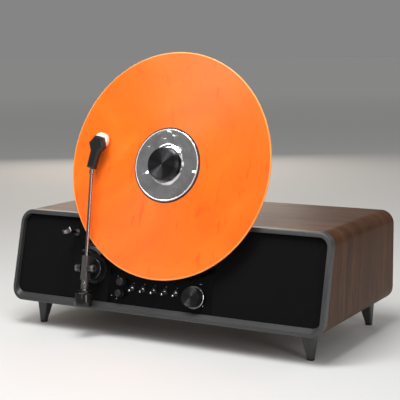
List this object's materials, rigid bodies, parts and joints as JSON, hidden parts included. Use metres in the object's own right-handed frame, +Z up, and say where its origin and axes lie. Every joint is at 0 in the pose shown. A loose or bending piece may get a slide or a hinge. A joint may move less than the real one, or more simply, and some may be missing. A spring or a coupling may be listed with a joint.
{
  "type": "upright record player",
  "caption": "Upright record player: a wooden speaker cabinet on feet with a sloped front, knobs and toggles, a tilted disc on a column behind it and a short tonearm.",
  "frame": {"origin": "on the surface the feet stand on, under the middle of the whole object", "axes": "+X to the right seen from the front, +Y to the back, +Z up; the sloped front faces -Y"},
  "size_m": [0.475, 0.2695, 0.379],
  "materials": {
    "walnut": "satin open-grain veneer",
    "bezel_paint": "satin dark grey",
    "board": "raw fibreboard",
    "cloth": "fine black woven cloth",
    "panel_gloss": "gloss black",
    "foot_paint": "satin black",
    "pad_rubber": "matte",
    "screw_steel": "zinc plated",
    "black_screw": "black oxide",
    "basket_steel": "black",
    "cone_paper": "pressed paper",
    "ferrite": "dark grey ferrite",
    "pot_case": "plated",
    "circuit_board": "green laminate",
    "heat_sink_metal": "milled",
    "bright_metal": "bright plated",
    "jack_shell": "plated",
    "black_plastic": "satin black",
    "column_paint": "satin black",
    "bearing_brass": "turned",
    "spindle_steel": "ground",
    "platter_metal": "turned, dark anodised",
    "mat_rubber": "matte",
    "motor_case": "plated",
    "pulley_metal": "turned",
    "belt_rubber": "matte",
    "orange_vinyl": "translucent orange, gloss",
    "label_paper": "plain dark paper",
    "clamp_metal": "spun mirror",
    "knob_metal": "turned, black anodised",
    "arm_metal": "dark anodised",
    "tube_metal": "polished dark",
    "weight_metal": "gloss black",
    "cartridge_plastic": "cream",
    "stylus_plastic": "cream"
  },
  "bodies": {
    "cabinet": {"cabinet_wrap": "walnut", "front_bezel": "bezel_paint", "baffle_board": "board", "grille_boards": "board", "grille_cloths": "cloth", "control_panel": "panel_gloss", "back_panel": "black_plastic", "corner_blocks": "board", "feet": "foot_paint", "foot_pads": "pad_rubber", "speaker_baskets": "basket_steel", "speaker_cones": "cone_paper", "speaker_magnets": "ferrite", "potentiometers": "pot_case", "toggle_switches": "bright_metal", "toggle_nuts": "bright_metal", "control_board": "circuit_board", "volume_ring": "bright_metal", "amplifier_board": "circuit_board", "heat_sink": "heat_sink_metal", "line_out_jacks": "jack_shell", "power_jack": "black_plastic", "column": "column_paint", "column_cover": "column_paint", "cover_screws": "black_screw", "column_bolts": "screw_steel", "bearing_housing": "bearing_brass", "motor": "motor_case", "drive_belt": "belt_rubber", "arm_base": "arm_metal", "arm_rest": "black_plastic"},
    "platter": {"spindle": "spindle_steel", "platter": "platter_metal", "slip_mat": "mat_rubber", "record": "orange_vinyl", "record_labels": "label_paper"},
    "pulley": {"motor_shaft": "spindle_steel", "motor_pulley": "pulley_metal"},
    "clamp": {"clamp_plate": "clamp_metal"},
    "clamp_knob": {"clamp_knob": "knob_metal"},
    "turret": {"arm_turret": "arm_metal", "pivot_pin": "spindle_steel"},
    "arm": {"arm_body": "arm_metal", "arm_tube": "tube_metal", "weight_stub": "spindle_steel", "headshell": "knob_metal", "cartridge": "cartridge_plastic", "stylus": "stylus_plastic"},
    "counterweight": {"counterweight": "weight_metal"},
    "force_dial": {"force_dial": "black_plastic"},
    "lift_bar": {"lift_bar": "knob_metal"},
    "lift_lever": {"lift_lever": "black_plastic"},
    "volume_knob": {"volume_knob": "knob_metal"},
    "bass_knob": {"bass_knob": "black_plastic"},
    "treble_knob": {"treble_knob": "black_plastic"},
    "toggle_1": {"toggle_lever_1": "bright_metal"},
    "toggle_2": {"toggle_lever_2": "bright_metal"},
    "toggle_3": {"toggle_lever_3": "bright_metal"},
    "toggle_4": {"toggle_lever_4": "bright_metal"},
    "toggle_5": {"toggle_lever_5": "bright_metal"}
  },
  "joints": [
    {"name": "platter_spin", "type": "hinge", "parent": "cabinet", "child": "platter", "pos_m": [0, -0.05912, 0.23028], "axis": [0, -0.9703, 0.2419], "continuous": true},
    {"name": "pulley_spin", "type": "hinge", "parent": "cabinet", "child": "pulley", "pos_m": [0, -0.06831, 0.19341], "axis": [0, -0.9703, 0.2419], "continuous": true},
    {"name": "clamp_slide", "type": "slide", "parent": "platter", "child": "clamp", "axis": [0, -0.9703, 0.2419], "range_m": [0, 0.015]},
    {"name": "clamp_knob_turn", "type": "hinge", "parent": "clamp", "child": "clamp_knob", "pos_m": [0, -0.07348, 0.23386], "axis": [0, -0.9703, 0.2419], "continuous": true},
    {"name": "arm_swing", "type": "hinge", "parent": "cabinet", "child": "turret", "pos_m": [-0.1045, -0.11123, 0.09363], "axis": [0, -0.9703, 0.2419], "range_deg": [-15, 35.1]},
    {"name": "arm_tilt", "type": "hinge", "parent": "turret", "child": "arm", "pos_m": [-0.1045, -0.11123, 0.09363], "axis": [0.999, 0.0108, 0.0435], "range_deg": [0, 2.8]},
    {"name": "weight_slide", "type": "slide", "parent": "arm", "child": "counterweight", "axis": [-0.0448, 0.2077, 0.9772], "range_m": [-0.004, 0.001]},
    {"name": "force_dial_turn", "type": "hinge", "parent": "counterweight", "child": "force_dial", "pos_m": [-0.10302, -0.11808, 0.06138], "axis": [-0.0448, 0.2077, 0.9772], "range_deg": [-180, 180]},
    {"name": "lift_bar_rise", "type": "slide", "parent": "cabinet", "child": "lift_bar", "axis": [0, -0.9703, 0.2419], "range_m": [0, 0.0016]},
    {"name": "lift_lever_turn", "type": "hinge", "parent": "cabinet", "child": "lift_lever", "pos_m": [-0.10973, -0.08747, 0.11658], "axis": [0, 0.9703, -0.2419], "range_deg": [0, 70]},
    {"name": "volume_turn", "type": "hinge", "parent": "cabinet", "child": "volume_knob", "pos_m": [0.0525, -0.09549, 0.06703], "axis": [0, -0.9703, 0.2419], "range_deg": [-150, 150]},
    {"name": "bass_turn", "type": "hinge", "parent": "cabinet", "child": "bass_knob", "pos_m": [-0.057, -0.09319, 0.07625], "axis": [0, -0.9703, 0.2419], "range_deg": [-135, 135]},
    {"name": "treble_turn", "type": "hinge", "parent": "cabinet", "child": "treble_knob", "pos_m": [-0.058, -0.09694, 0.06121], "axis": [0, -0.9703, 0.2419], "range_deg": [-135, 135]},
    {"name": "toggle_1_flip", "type": "hinge", "parent": "cabinet", "child": "toggle_1", "pos_m": [-0.0407, -0.09496, 0.06999], "axis": [-1, 0, 0], "range_deg": [0, 56]},
    {"name": "toggle_2_flip", "type": "hinge", "parent": "cabinet", "child": "toggle_2", "pos_m": [-0.02395, -0.09496, 0.06999], "axis": [-1, 0, 0], "range_deg": [0, 56]},
    {"name": "toggle_3_flip", "type": "hinge", "parent": "cabinet", "child": "toggle_3", "pos_m": [-0.0072, -0.09496, 0.06999], "axis": [-1, 0, 0], "range_deg": [0, 56]},
    {"name": "toggle_4_flip", "type": "hinge", "parent": "cabinet", "child": "toggle_4", "pos_m": [0.00955, -0.09496, 0.06999], "axis": [-1, 0, 0], "range_deg": [0, 56]},
    {"name": "toggle_5_flip", "type": "hinge", "parent": "cabinet", "child": "toggle_5", "pos_m": [0.0263, -0.09496, 0.06999], "axis": [-1, 0, 0], "range_deg": [0, 56]}
  ],
  "couplings": [
    {"joint": "pulley_spin", "follows": "platter_spin", "ratio": 7},
    {"joint": "lift_lever_turn", "follows": "arm_tilt", "ratio": 25},
    {"joint": "lift_bar_rise", "follows": "arm_tilt", "m_per_rad": 0.03274}
  ]
}
